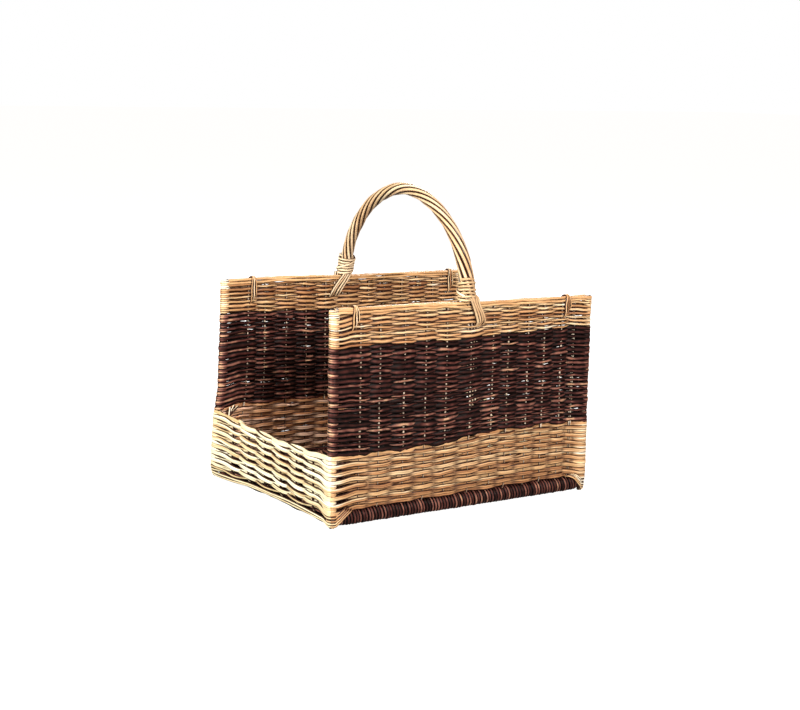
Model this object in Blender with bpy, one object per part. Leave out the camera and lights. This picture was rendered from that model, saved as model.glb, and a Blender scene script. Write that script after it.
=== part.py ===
"""Wicker log basket: two high side panels, two low end walls, a woven floor and one roped arch handle.

Metres, +Z up. The origin is on the floor under the middle of the basket. X runs along the long
side panels, and Y from the front panel (-Y) to the back panel (+Y).

The willow sticks that carry the shape are separate solids: corner posts, stakes, floor rods and
the handle's bow. Each stretch of weaving is one solid that the sticks run through, with a small
clearance all round. The bare sticks are eight-sided, as their holes are.
"""

import math

import bmesh
import bpy
import numpy as np
from mathutils import Vector

# Overall size
LENGTH = 0.500
WIDTH = 0.393
RIM_TOP = 0.335
HANDLE_TOP_AXIS = 0.500

# Weaving
WALL = 0.013
GAP = 0.0003
FIT = 0.00035
CORNER_ROUND = 0.0045
LOWER_BAND_TOP = 0.117
DARK_BAND_TOP = 0.2785
RIM_HEIGHT = 0.010
FOOT_HEIGHT = 0.001
CUT_PAST = 0.010
SHARP_ANGLE = math.radians(50)

# Sticks
STICK_SIDES = 8
POST_RADIUS = 0.0045
POST_TOP = 0.338
STAKE_RADIUS = 0.0025
STAKE_FOOT = 0.008
STAKE_TOP = 0.330
STAKES_X = (-0.197, -0.162, -0.117, -0.077, -0.038, 0.009, 0.052, 0.082, 0.122, 0.155, 0.191, 0.216)
END_ROD_COUNT = 6
END_ROD_RADIUS = 0.0028
END_ROD_BEND = 0.010
END_ROD_BEND_STEPS = 4
END_ROD_COVER = 0.004
EDGE_STICK_RADIUS = 0.0035
EDGE_STICK_Y = 0.182

# Floor
FLOOR_THICKNESS = 0.013
ROLL_RADIUS = 0.0125
ROLL_SIDES = 12

# End walls
END_WALL_FOOT = 0.006
END_WALL_MIDDLE = 0.103
END_WALL_CORNER = 0.112
END_WALL_STEPS = 12

# Handle
ARCH_EXPONENT = 1.88
BOW_RADIUS = 0.0044
BOW_FOOT = 0.232
ARCH_SEGMENTS = 48
ARCH_SAMPLES = 721
ROPE_STRANDS = 8
ROPE_SIDES = 3 * ROPE_STRANDS
VALLEY_SHARE = 0.1
VALLEY_OFFSET = 0.01
ROPE_RADIUS = 0.0101
ROPE_VALLEY = 0.0084
ROPE_TURNS = 2.0
ROPE_FOOT = 0.3412
TAIL_TOP = 0.3396
COLLAR_TOP = 0.368
COLLAR_RADIUS = 0.0170
COLLAR_VALLEY = 0.0155
COLLAR_WRAPS = 6
COLLAR_SIDES = 16
COLLAR_CLEARANCE = 0.0007
TAIL_WIDTH = 0.018
TAIL_THICKNESS = 0.004
TAIL_FOOT = 0.300
TAIL_DRIFT = 0.018

# Lashings that tie the rim down, along X, for each panel
LASHINGS_X = {"front": (-0.209, 0.199), "back": (-0.189, 0.226)}
LASHING_WIDTH = 0.008
LASHING_THICKNESS = 0.0025
LASHING_FOOT = 0.297

# Worked out from the sizes above
PANEL_Y = (WIDTH - WALL) / 2
END_X = (LENGTH - WALL) / 2
INNER_X = LENGTH / 2 - WALL
INNER_Y = WIDTH / 2 - WALL
FLOOR_END_X = INNER_X - 2 * GAP
ROLL_Y = WIDTH / 2 - ROLL_RADIUS
ROLL_TOP = 2 * ROLL_RADIUS
RIM_FOOT = RIM_TOP - RIM_HEIGHT
SIDES = {"front": -1, "back": 1}
ENDS = {"left": -1, "right": 1}


def clear_scene():
    for old in list(bpy.data.objects):
        bpy.data.objects.remove(old, do_unlink=True)


def willow(name, colour, roughness):
    """A plain willow material."""
    material = bpy.data.materials.new(name)
    material.use_nodes = True
    shader = material.node_tree.nodes["Principled BSDF"]
    shader.inputs["Base Color"].default_value = (*colour, 1.0)
    shader.inputs["Roughness"].default_value = roughness
    shader.inputs["Metallic"].default_value = 0.0
    material.diffuse_color = (*colour, 1.0)
    return material


def add_object(name, mesh, material, basket, location=(0, 0, 0)):
    """A named object in the basket, from a mesh that may be shared."""
    if material is not None and not mesh.materials:
        mesh.materials.append(material)
    obj = bpy.data.objects.new(name, mesh)
    bpy.context.scene.collection.objects.link(obj)
    obj.location = location
    obj.parent = basket
    return obj


def finish_mesh(name, bm, smooth=False):
    """Turns the bmesh into a mesh whose faces point out."""
    bmesh.ops.recalc_face_normals(bm, faces=bm.faces)
    mesh = bpy.data.meshes.new(name)
    bm.to_mesh(mesh)
    bm.free()
    if smooth:
        mesh.shade_smooth()
        mesh.set_sharp_from_angle(angle=SHARP_ANGLE)
    return mesh


def add_loft(bm, rings, looped=False):
    """A skin over rings of equal length: a loop, or a length with a flat cap on each end."""
    rows = [[bm.verts.new(point) for point in ring] for ring in rings]
    count = len(rows[0])
    next_rows = rows[1:] + rows[:1] if looped else rows[1:]
    for row, following in zip(rows, next_rows):
        for i in range(count):
            j = (i + 1) % count
            bm.faces.new((row[i], row[j], following[j], following[i]))
    if not looped:
        bm.faces.new(rows[0])
        bm.faces.new(rows[-1])


def add_block(bm, low, high):
    """A box between two corners."""
    centre = (Vector(low) + Vector(high)) / 2
    size = Vector(high) - Vector(low)
    made = bmesh.ops.create_cube(bm, size=1.0)["verts"]
    bmesh.ops.scale(bm, vec=size, verts=made)
    bmesh.ops.translate(bm, vec=centre, verts=made)


def add_stick(bm, x, y, foot, top, radius):
    """An upright stick with flat ends."""
    made = bmesh.ops.create_cone(
        bm,
        cap_ends=True,
        segments=STICK_SIDES,
        radius1=radius,
        radius2=radius,
        depth=top - foot,
    )["verts"]
    bmesh.ops.translate(bm, vec=(x, y, (foot + top) / 2), verts=made)


def add_bent_rod(bm, path, across, radii, sides, turn=0.0):
    """A rod swept along a flat path, whose plane is square to the unit vector across.

    radii gives the radius from the share of the way along and the angle round the rod.
    """
    rings = []
    for i, point in enumerate(path):
        before = path[max(i - 1, 0)]
        after = path[min(i + 1, len(path) - 1)]
        out = (after - before).normalized().cross(across)
        share = i / (len(path) - 1)
        ring = []
        for k in range(sides):
            angle = 2 * math.pi * k / sides
            reach = radii(share, angle)
            spun = angle + turn * share
            ring.append(point + reach * (math.cos(spun) * across + math.sin(spun) * out))
        rings.append(ring)
    add_loft(bm, rings)


def plain_radius(radius):
    return lambda share, angle: radius


def add_strap(bm, stations, width, looped=False):
    """A flat strap through stations, each an x, an outer (y, z) and an inner (y, z)."""
    rings = []
    for x, outer, inner in stations:
        low = x - width / 2
        high = x + width / 2
        rings.append([(low, *outer), (high, *outer), (high, *inner), (low, *inner)])
    add_loft(bm, rings, looped)


def add_prism(bm, outline, low, high, place):
    """An outline in a plane, carried from low to high along that plane's normal."""
    add_loft(bm, [[place(u, v, w) for u, v in outline] for w in (low, high)])


def cutter(name, bm):
    """A hidden helper that cuts holes in its neighbours."""
    obj = add_object(name, finish_mesh(name, bm), None, None)
    obj.hide_render = True
    obj.display_type = "WIRE"
    return obj


def cut(obj, *tools):
    for tool in tools:
        modifier = obj.modifiers.new(tool.name, "BOOLEAN")
        modifier.operation = "DIFFERENCE"
        modifier.solver = "EXACT"
        modifier.object = tool


# Side panels


def side_outlines():
    """Outline of each band of a side panel, as (x, z) points."""
    half = LENGTH / 2
    lower = [
        (-half, FOOT_HEIGHT),
        (-INNER_X - GAP, FOOT_HEIGHT),
        (-INNER_X - GAP, ROLL_TOP + GAP),
        (INNER_X + GAP, ROLL_TOP + GAP),
        (INNER_X + GAP, FOOT_HEIGHT),
        (half, FOOT_HEIGHT),
        (half, LOWER_BAND_TOP),
        (-half, LOWER_BAND_TOP),
    ]
    outlines = {"lower_band": lower}
    levels = {
        "dark_band": (LOWER_BAND_TOP + GAP, DARK_BAND_TOP),
        "upper_band": (DARK_BAND_TOP + GAP, RIM_FOOT - GAP),
        "rim": (RIM_FOOT, RIM_TOP),
    }
    for band, (foot, top) in levels.items():
        outlines[band] = [(-half, foot), (half, foot), (half, top), (-half, top)]
    return outlines


def side_panel_holes(side, panel_y):
    """What the posts, stakes, bow and lashings take out of the weaving of one side."""
    sticks = bmesh.new()
    for x in (-END_X, END_X):
        add_stick(sticks, x, panel_y, FOOT_HEIGHT - CUT_PAST, POST_TOP + CUT_PAST, POST_RADIUS + FIT)
    for x in STAKES_X:
        add_stick(sticks, x, panel_y, STAKE_FOOT - GAP, STAKE_TOP + GAP, STAKE_RADIUS + FIT)
    add_stick(sticks, 0, panel_y, BOW_FOOT - GAP, RIM_TOP + CUT_PAST, BOW_RADIUS + FIT)
    half = LASHING_WIDTH / 2 + GAP
    reach = WALL
    foot = LASHING_FOOT - GAP
    top = LASHING_FOOT + LASHING_THICKNESS + GAP
    for x in LASHINGS_X[side]:
        add_block(sticks, (x - half, panel_y - reach, foot), (x + half, panel_y + reach, top))
    return cutter(f"{side}_holes", sticks)


def round_ends(mesh_bm):
    """Rounds the upright edges at a band's two ends, where the weavers turn back round a post."""
    upright = [
        edge
        for edge in mesh_bm.edges
        if abs(edge.verts[0].co.x - edge.verts[1].co.x) < GAP / 2
        and abs(edge.verts[0].co.y - edge.verts[1].co.y) < GAP / 2
        and abs(edge.verts[0].co.x) > LENGTH / 2 - GAP
    ]
    bmesh.ops.bevel(mesh_bm, geom=upright, offset=CORNER_ROUND, segments=2, profile=0.5, affect="EDGES")


def build_side_weaving(side, panel_y, materials, basket):
    holes = side_panel_holes(side, panel_y)
    for band, outline in side_outlines().items():
        bm = bmesh.new()
        low = panel_y - WALL / 2
        high = panel_y + WALL / 2
        add_prism(bm, outline, low, high, lambda u, v, w: Vector((u, w, v)))
        round_ends(bm)
        material = materials["brown"] if band == "dark_band" else materials["natural"]
        name = f"{side}_{band}"
        obj = add_object(name, finish_mesh(name, bm), material, basket)
        cut(obj, holes)
    return holes


def build_side_sticks(side, panel_y, material, basket):
    post = bmesh.new()
    add_stick(post, 0, 0, FOOT_HEIGHT, POST_TOP, POST_RADIUS)
    post_mesh = finish_mesh("corner_post", post, smooth=True)
    for end, sign in ENDS.items():
        add_object(f"corner_post_{side}_{end}", post_mesh, material, basket, (sign * END_X, panel_y, 0))
    stake = bmesh.new()
    add_stick(stake, 0, 0, STAKE_FOOT, STAKE_TOP, STAKE_RADIUS)
    stake_mesh = finish_mesh("side_stake", stake, smooth=True)
    for number, x in enumerate(STAKES_X, start=1):
        add_object(f"{side}_stake_{number:02d}", stake_mesh, material, basket, (x, panel_y, 0))


def build_lashings(side, panel_y, material, basket):
    """Closed ties over the rim, each with its lowest stretch passing through the wall."""
    clear = WALL / 2 + GAP
    outer = clear + LASHING_THICKNESS
    inner_foot = LASHING_FOOT + LASHING_THICKNESS
    inner_top = RIM_TOP + GAP
    outer_top = inner_top + LASHING_THICKNESS
    for end, x in zip(ENDS, LASHINGS_X[side]):
        stations = [
            (x, (panel_y - outer, LASHING_FOOT), (panel_y - clear, inner_foot)),
            (x, (panel_y - outer, outer_top), (panel_y - clear, inner_top)),
            (x, (panel_y + outer, outer_top), (panel_y + clear, inner_top)),
            (x, (panel_y + outer, LASHING_FOOT), (panel_y + clear, inner_foot)),
        ]
        bm = bmesh.new()
        add_strap(bm, stations, LASHING_WIDTH, looped=True)
        name = f"{side}_lashing_{end}"
        add_object(name, finish_mesh(name, bm), material, basket)


# Floor and end walls


def end_wall_top(y):
    """Height of an end wall's dipped top edge."""
    share = y / INNER_Y
    return END_WALL_MIDDLE + (END_WALL_CORNER - END_WALL_MIDDLE) * share * share


def end_rod_places():
    """Y of each rod that runs along the floor and turns up in both end walls."""
    step = 2 * INNER_Y / (END_ROD_COUNT + 1)
    return [-INNER_Y + step * (i + 1) for i in range(END_ROD_COUNT)]


def end_rod_path(y, top):
    """A long U: up, round a bend, along the floor, round a bend and up."""
    centre_x = END_X - END_ROD_BEND
    centre_z = ROLL_RADIUS + END_ROD_BEND
    right = [Vector((END_X, y, top))]
    for i in range(END_ROD_BEND_STEPS + 1):
        angle = math.pi / 2 * i / END_ROD_BEND_STEPS
        x = centre_x + END_ROD_BEND * math.cos(angle)
        z = centre_z - END_ROD_BEND * math.sin(angle)
        right.append(Vector((x, y, z)))
    left = [Vector((-point.x, point.y, point.z)) for point in reversed(right)]
    return right + left


def build_end_rods(material, basket):
    """The rods, and one cutter that holds all their holes."""
    holes = bmesh.new()
    for number, y in enumerate(end_rod_places(), start=1):
        top = end_wall_top(y) - END_ROD_COVER
        path = end_rod_path(y, top)
        bm = bmesh.new()
        across = Vector((0, 1, 0))
        add_bent_rod(bm, path, across, plain_radius(END_ROD_RADIUS), STICK_SIDES)
        name = f"floor_rod_{number}"
        add_object(name, finish_mesh(name, bm, smooth=True), material, basket)
        wide_path = end_rod_path(y, top + GAP)
        add_bent_rod(holes, wide_path, across, plain_radius(END_ROD_RADIUS + FIT), STICK_SIDES)
    return cutter("floor_rod_holes", holes)


def build_edge_sticks(material, basket):
    """The stiff sticks at the floor's long edges, and the cutter for their holes."""
    holes = bmesh.new()
    across = Vector((0, 1, 0))
    for side, sign in SIDES.items():
        y = sign * EDGE_STICK_Y
        ends = [Vector((x, y, ROLL_RADIUS)) for x in (-FLOOR_END_X, FLOOR_END_X)]
        bm = bmesh.new()
        add_bent_rod(bm, ends, across, plain_radius(EDGE_STICK_RADIUS), STICK_SIDES)
        name = f"floor_edge_stick_{side}"
        add_object(name, finish_mesh(name, bm, smooth=True), material, basket)
        longer = [Vector((x, y, ROLL_RADIUS)) for x in (-LENGTH, LENGTH)]
        add_bent_rod(holes, longer, across, plain_radius(EDGE_STICK_RADIUS + FIT), STICK_SIDES)
    return cutter("edge_stick_holes", holes)


def floor_outline():
    """Section of the floor, as (y, z): a thin mat with a thick roll along each long edge."""
    corner_radius = ROLL_RADIUS / math.cos(math.pi / ROLL_SIDES)
    half_mat = FLOOR_THICKNESS / 2
    join_y = ROLL_Y - math.sqrt(corner_radius**2 - half_mat**2)
    step = 2 * math.pi / ROLL_SIDES
    roll = [(join_y, ROLL_RADIUS - half_mat)]
    kept = ROLL_SIDES - 2
    for i in range(kept):
        angle = (i - (kept - 1) / 2) * step
        across, up = corner_radius * math.cos(angle), corner_radius * math.sin(angle)
        roll.append((ROLL_Y + across, ROLL_RADIUS + up))
    roll.append((join_y, ROLL_RADIUS + half_mat))
    return roll + [(-y, z) for y, z in reversed(roll)]


def build_floor(holes, material, basket):
    bm = bmesh.new()
    add_prism(bm, floor_outline(), -FLOOR_END_X, FLOOR_END_X, lambda u, v, w: Vector((w, u, v)))
    obj = add_object("floor_weaving", finish_mesh("floor_weaving", bm), material, basket)
    cut(obj, *holes)


def build_end_walls(holes, material, basket):
    half = INNER_Y - GAP
    top_edge = [half - 2 * half * i / END_WALL_STEPS for i in range(END_WALL_STEPS + 1)]
    outline = [(-half, END_WALL_FOOT), (half, END_WALL_FOOT)]
    outline += [(y, end_wall_top(y)) for y in top_edge]
    for end, sign in ENDS.items():
        bm = bmesh.new()
        low = sign * END_X - WALL / 2
        add_prism(bm, outline, low, low + WALL, lambda u, v, w: Vector((w, u, v)))
        name = f"end_wall_{end}"
        obj = add_object(name, finish_mesh(name, bm), material, basket)
        cut(obj, holes)


# Handle


def handle_line():
    """Distances along the handle's centre line, with its y and z, from the front leg to the back one."""
    angles = np.linspace(0, math.pi, ARCH_SAMPLES)
    power = 2 / ARCH_EXPONENT
    cosines = np.cos(angles)
    arch_y = -PANEL_Y * np.sign(cosines) * np.abs(cosines) ** power
    arch_z = RIM_TOP + (HANDLE_TOP_AXIS - RIM_TOP) * np.abs(np.sin(angles)) ** power
    y = np.concatenate([[-PANEL_Y], arch_y, [PANEL_Y]])
    z = np.concatenate([[BOW_FOOT], arch_z, [BOW_FOOT]])
    along = np.concatenate([[0], np.cumsum(np.hypot(np.diff(y), np.diff(z)))])
    return along, y, z


def distance_up(line, height):
    """How far along the line its front half reaches a height."""
    along, _, z = line
    half = len(z) // 2
    return float(np.interp(height, z[:half], along[:half]))


def points_along(line, start, end, count):
    """Evenly spaced points between two distances along the line."""
    along, y, z = line
    places = np.linspace(start, end, count)
    return [Vector((0, v, w)) for v, w in zip(np.interp(places, along, y), np.interp(places, along, z))]


def rope_radius(share, angle):
    """Strands stand proud, with a valley between each two."""
    in_strand = (angle * ROPE_STRANDS / (2 * math.pi) + VALLEY_OFFSET) % 1.0
    return ROPE_VALLEY if in_strand < VALLEY_SHARE else ROPE_RADIUS


def collar_radius(share, angle):
    """One bulge for each wrap of the binding."""
    return COLLAR_VALLEY + (COLLAR_RADIUS - COLLAR_VALLEY) * abs(math.sin(math.pi * COLLAR_WRAPS * share))


def build_bow(line, material, basket):
    """The stick inside the rope, whose legs are pushed down into the side panels."""
    length = line[0][-1]
    leg = distance_up(line, RIM_TOP)
    arch = points_along(line, leg, length - leg, ARCH_SEGMENTS + 1)
    feet = points_along(line, 0, length, 2)
    path = [feet[0], *arch, feet[1]]
    across = Vector((1, 0, 0))
    bow = bmesh.new()
    add_bent_rod(bow, path, across, plain_radius(BOW_RADIUS), STICK_SIDES)
    add_object("handle_bow", finish_mesh("handle_bow", bow, smooth=True), material, basket)
    bore = bmesh.new()
    add_bent_rod(bore, path, across, plain_radius(BOW_RADIUS + FIT), STICK_SIDES)
    return cutter("bow_bore", bore)


def build_rope(line, bow_bore, material, basket):
    """The strands laid round the bow, as one ribbed tube."""
    start = distance_up(line, ROPE_FOOT)
    points = points_along(line, start, line[0][-1] - start, ARCH_SEGMENTS + 1)
    rope = bmesh.new()
    turn = ROPE_TURNS * 2 * math.pi
    add_bent_rod(rope, points, Vector((1, 0, 0)), rope_radius, ROPE_SIDES, turn)
    obj = add_object("handle_rope", finish_mesh("handle_rope", rope, smooth=True), material, basket)
    cut(obj, bow_bore)


def build_collars(line, material, basket):
    """A wrapped binding round the rope's foot, just above each rim."""
    across = Vector((1, 0, 0))
    length = line[0][-1]
    start = distance_up(line, ROPE_FOOT)
    end = distance_up(line, COLLAR_TOP)
    for side in SIDES:
        span = (start, end) if side == "front" else (length - end, length - start)
        collar = bmesh.new()
        points = points_along(line, *span, 2 * COLLAR_WRAPS + 1)
        add_bent_rod(collar, points, across, collar_radius, COLLAR_SIDES)
        bore = bmesh.new()
        longer = points_along(line, span[0] - WALL, span[1] + WALL, 2 * COLLAR_WRAPS + 1)
        bore_radius = ROPE_RADIUS + COLLAR_CLEARANCE
        add_bent_rod(bore, longer, across, plain_radius(bore_radius), COLLAR_SIDES)
        name = f"handle_collar_{side}"
        obj = add_object(name, finish_mesh(name, collar), material, basket)
        cut(obj, cutter(f"{name}_bore", bore))


def build_tails(side, sign, material, basket):
    """The rope's ends, fanned over the rim and down both faces of the panel."""
    panel_y = sign * PANEL_Y
    clear = WALL / 2 + GAP
    outer = clear + TAIL_THICKNESS
    drift = -sign * TAIL_DRIFT
    stations = [
        (drift, (panel_y - outer, TAIL_FOOT), (panel_y - clear, TAIL_FOOT)),
        (0, (panel_y - outer, TAIL_TOP), (panel_y - clear, RIM_TOP + GAP)),
        (0, (panel_y + outer, TAIL_TOP), (panel_y + clear, RIM_TOP + GAP)),
        (drift, (panel_y + outer, TAIL_FOOT), (panel_y + clear, TAIL_FOOT)),
    ]
    tails = bmesh.new()
    add_strap(tails, stations, TAIL_WIDTH)
    bore = bmesh.new()
    add_stick(bore, 0, panel_y, RIM_FOOT, TAIL_TOP + RIM_HEIGHT, BOW_RADIUS + 2 * FIT)
    name = f"handle_tails_{side}"
    obj = add_object(name, finish_mesh(name, tails), material, basket)
    cut(obj, cutter(f"{name}_bore", bore))


def main():
    clear_scene()
    basket = bpy.data.objects.new("basket", None)
    bpy.context.scene.collection.objects.link(basket)
    materials = {
        "natural": willow("natural_willow", (0.66, 0.46, 0.24), 0.55),
        "brown": willow("brown_willow", (0.085, 0.032, 0.026), 0.6),
        "stick": willow("willow_stick", (0.58, 0.38, 0.19), 0.6),
        "handle": willow("handle_willow", (0.74, 0.55, 0.32), 0.5),
    }
    side_holes = []
    for side, sign in SIDES.items():
        panel_y = sign * PANEL_Y
        side_holes.append(build_side_weaving(side, panel_y, materials, basket))
        build_side_sticks(side, panel_y, materials["stick"], basket)
        build_lashings(side, panel_y, materials["natural"], basket)
        build_tails(side, sign, materials["handle"], basket)
    rod_holes = build_end_rods(materials["stick"], basket)
    edge_holes = build_edge_sticks(materials["stick"], basket)
    build_floor([*side_holes, rod_holes, edge_holes], materials["brown"], basket)
    build_end_walls(rod_holes, materials["natural"], basket)
    line = handle_line()
    bow_bore = build_bow(line, materials["stick"], basket)
    build_rope(line, bow_bore, materials["handle"], basket)
    build_collars(line, materials["handle"], basket)


main()
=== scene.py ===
"""Looks for the wicker log basket: every willow rod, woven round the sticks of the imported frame.

Metres, in the frame's own axes: x along the side panels, y from front to back, z up.
"""

import math

import bpy
import numpy as np
from mathutils import Matrix, Vector


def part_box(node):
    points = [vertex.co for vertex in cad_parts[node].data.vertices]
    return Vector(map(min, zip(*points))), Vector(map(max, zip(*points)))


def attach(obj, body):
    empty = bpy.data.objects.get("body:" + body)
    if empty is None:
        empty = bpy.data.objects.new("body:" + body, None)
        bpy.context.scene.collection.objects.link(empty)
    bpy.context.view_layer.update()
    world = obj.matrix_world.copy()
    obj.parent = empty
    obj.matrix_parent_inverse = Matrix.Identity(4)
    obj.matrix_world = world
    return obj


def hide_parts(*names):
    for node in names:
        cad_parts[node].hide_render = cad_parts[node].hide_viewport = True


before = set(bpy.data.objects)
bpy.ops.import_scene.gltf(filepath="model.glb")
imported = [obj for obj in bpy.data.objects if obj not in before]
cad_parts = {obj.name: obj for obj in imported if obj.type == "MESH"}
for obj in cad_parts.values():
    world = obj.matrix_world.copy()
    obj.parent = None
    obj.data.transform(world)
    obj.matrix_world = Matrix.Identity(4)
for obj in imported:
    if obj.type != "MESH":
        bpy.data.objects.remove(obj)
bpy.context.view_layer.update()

# Sizes read from the frame


def node_centre(node):
    return np.mean(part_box(node), axis=0)


def node_top(node):
    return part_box(node)[1][2]


def nodes_called(start):
    return sorted(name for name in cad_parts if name.startswith(start))


STAKE_NAMES = {side: nodes_called(f"{side}_stake_") for side in ("front", "back")}
LASHING_NAMES = {side: nodes_called(f"{side}_lashing_") for side in ("front", "back")}
FLOOR_ROD_NAMES = nodes_called("floor_rod_")
STAKES_X = [node_centre(name)[0] for name in STAKE_NAMES["front"]]
FLOOR_RODS_Y = [node_centre(name)[1] for name in FLOOR_ROD_NAMES]
END_X, PANEL_Y, _ = node_centre("corner_post_back_right")
LOWER_TOP = node_top("front_lower_band")
DARK_TOP = node_top("front_dark_band")
RIM_TOP = node_top("front_rim")
ARCH_TOP = node_top("handle_bow")
COLLAR_TOP = node_top("handle_collar_front")
COLLAR_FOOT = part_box("handle_collar_front")[0][2]
TAIL_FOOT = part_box("handle_tails_front")[0][2]
ROLL_RADIUS = node_top("floor_weaving") / 2
ROLL_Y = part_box("floor_weaving")[1][1] - ROLL_RADIUS

# Willow rod sizes
STAKE_RADIUS = 0.0023
POST_RADIUS = 0.0045
FLOOR_ROD_RADIUS = 0.0028
LOWER_PITCH = 0.0057
FLOOR_PITCH = 0.0056

# Share of each palette that whole rods use. The rest is for stretches lightened by blotches and by painted
# highlights.
USUAL_TONES = 0.72
USUAL_RED = 0.35

SEED = 41


# Rods gathered into meshes

LUMPINESS = 0.05
GRAIN_ROOM = 9


def unit(vectors):
    return vectors / np.linalg.norm(vectors, axis=-1, keepdims=True)


def lengths_along(path):
    """Distance from a path's start to each of its points."""
    return np.concatenate([[0], np.cumsum(np.linalg.norm(np.diff(path, axis=0), axis=1))])


def points_at(*columns):
    """Points from columns of coordinates. A number stands for a whole column."""
    return np.stack(np.broadcast_arrays(*columns), -1)


class Rods:
    """Willow rods gathered into one mesh.

    Each vertex carries its place in the grain, and a tone: its place in the palette, its share of red and
    how far it is clear of the painted shade that darkens the gaps between rods.
    """

    def __init__(self, seed):
        self.random = np.random.RandomState(SEED + seed)
        self.points = []
        self.quads = []
        self.grain = []
        self.tone = []
        self.count = 0

    def new_tone(self):
        return self.random.rand(2) * (USUAL_TONES, USUAL_RED)

    def add(
        self, path, radius, up, tone=None, sides=10, tall=1.0, crest=1.0, shift=0.0, bare=0.0, origin=None
    ):
        """Sweeps a rod along a path.

        up is any direction never along the path, and tall stretches the section along it. crest says how
        far each path point is clear of painted shade, from 0 in a gap, painted dark, to 1, and bare the same
        for its upper and lower edges, where painted shade stands for the rows beside it. shift lightens it,
        for the rod's own tone and for painted highlights. origin places it in the grain, for a stretch of a
        longer rod whose thickness is already worked out and whose ends don't show.
        """
        path = np.asarray(path, float)
        if tone is None:
            tone = self.new_tone()
        radius, crest, shift = (np.broadcast_to(values, len(path)) for values in (radius, crest, shift))
        along = lengths_along(path)
        tangent = unit(np.gradient(path, axis=0))
        up = np.broadcast_to(np.asarray(up, float), path.shape)
        if origin is None:
            radius = radius * self.thickness(along)
            ended = rounded_ends(path, radius, tangent, crest, shift, along, up)
            path, radius, tangent, crest, shift, along, up = ended
        high = unit(up - (up * tangent).sum(1)[:, None] * tangent)
        wide = np.cross(tangent, high)
        angle = 2 * np.pi * (np.arange(sides) + 0.5) / sides
        lump = 1 + LUMPINESS * self.random.randn(sides)
        cosine, sine = np.cos(angle) * lump, np.sin(angle) * lump
        ring = tall * cosine[None, :, None] * high[:, None] + sine[None, :, None] * wide[:, None]
        self.points.append((path[:, None] + radius[:, None, None] * ring).reshape(-1, 3))
        start = self.random.rand(3) * GRAIN_ROOM if origin is None else origin
        across, down = np.outer(radius, np.cos(angle)), np.outer(radius, np.sin(angle))
        self.grain.append(points_at(np.repeat(along, sides), across.ravel(), down.ravel()) + start)
        # Painted shade: the faces towards up and away from it, where neighbouring rods meet, take bare; the
        # faces to either side take crest.
        unshaded = bare + (crest[:, None] - bare) * np.abs(np.sin(angle))
        palette_place = tone[0] + np.repeat(shift, sides)
        self.tone.append(points_at(palette_place, tone[1], unshaded.ravel()))
        self.add_faces(len(path), sides)

    def add_faces(self, count, sides):
        """Quads round the rod just added, and a cap of quads at each end."""
        base = self.count + np.arange(count - 1)[:, None] * sides
        first = base + np.arange(sides)
        turn = base + (np.arange(sides) + 1) % sides
        self.quads.append(np.stack([first, turn, turn + sides, first + sides], -1).reshape(-1, 4))
        half = np.arange((sides - 2) // 2)
        cap = np.stack([half, half + 1, sides - 2 - half, sides - 1 - half], -1)
        self.quads.append(self.count + cap[:, ::-1])
        self.quads.append(self.count + (count - 1) * sides + cap)
        self.count += count * sides

    def thickness(self, along):
        """Slow swelling along a rod, and a faint joint here and there."""
        phase = self.random.rand(3) * 2 * np.pi
        swell = 1 + 0.035 * np.sin(along * 90 + phase[0]) + 0.03 * np.sin(along * 31 + phase[1])
        spacing = 0.05 + 0.05 * self.random.rand()
        joint = np.abs((along / spacing + phase[2]) % 1.0 - 0.5)
        return swell + 0.10 * np.exp(-((joint * spacing / 0.0022) ** 2))

    def build(self, name, material, slot, *nodes):
        points = settled(np.concatenate(self.points))
        quads = np.concatenate(self.quads)
        mesh = bpy.data.meshes.new(name)
        mesh.vertices.add(len(points))
        mesh.vertices.foreach_set("co", points.ravel())
        mesh.loops.add(quads.size)
        mesh.loops.foreach_set("vertex_index", quads.ravel())
        mesh.polygons.add(len(quads))
        mesh.polygons.foreach_set("loop_start", np.arange(0, quads.size, 4))
        mesh.update(calc_edges=True)
        for key, values in (("grain", self.grain), ("tone", self.tone)):
            attribute = mesh.attributes.new(key, "FLOAT_VECTOR", "POINT")
            attribute.data.foreach_set("vector", np.concatenate(values).ravel())
        mesh.validate()
        mesh.shade_smooth()
        mesh.materials.append(material)
        piece = bpy.data.objects.new(name, mesh)
        bpy.context.scene.collection.objects.link(piece)
        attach(piece, "root")
        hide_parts(*nodes)


# How far the back left post leans inwards, as (z, distance) points, how far the handle stands to the
# right, and how much the rims rise, as (x, distance) points
LEAN = ((0.02, -0.0092), (0.10, -0.0048), (0.13, 0.0000), (0.15, 0.0030), (0.24, 0.0066), (0.34, 0.0090))
HANDLE_SHIFT = 0.0032
RIM_RISE = ((-0.25, 0.0042), (-0.10, 0.0040), (0.02, 0.0004), (0.12, -0.0006), (0.25, -0.0024))


def settled(points):
    """The basket as it was woven: its back left post leans, and its rims fall a little to the right."""
    moved = points.copy()
    share = np.clip(points[:, 2] / RIM_TOP, 0, 1)
    leftness = rising(-0.10 - points[:, 0], 0.14)
    backness = rising(points[:, 1], 0.18)
    moved[:, 0] += level_at(LEAN, points[:, 2]) * leftness * backness
    moved[:, 2] += level_at(RIM_RISE, points[:, 0]) * share**3
    moved[:, 0] += HANDLE_SHIFT * rising(points[:, 2] - RIM_TOP + 0.002, 0.015)
    return moved


# Rings of a cut end's low dome: distance past the end and radius, as shares of the rod's radius
END_DOME = ((0.30, 0.82), (0.45, 0.35))


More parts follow.
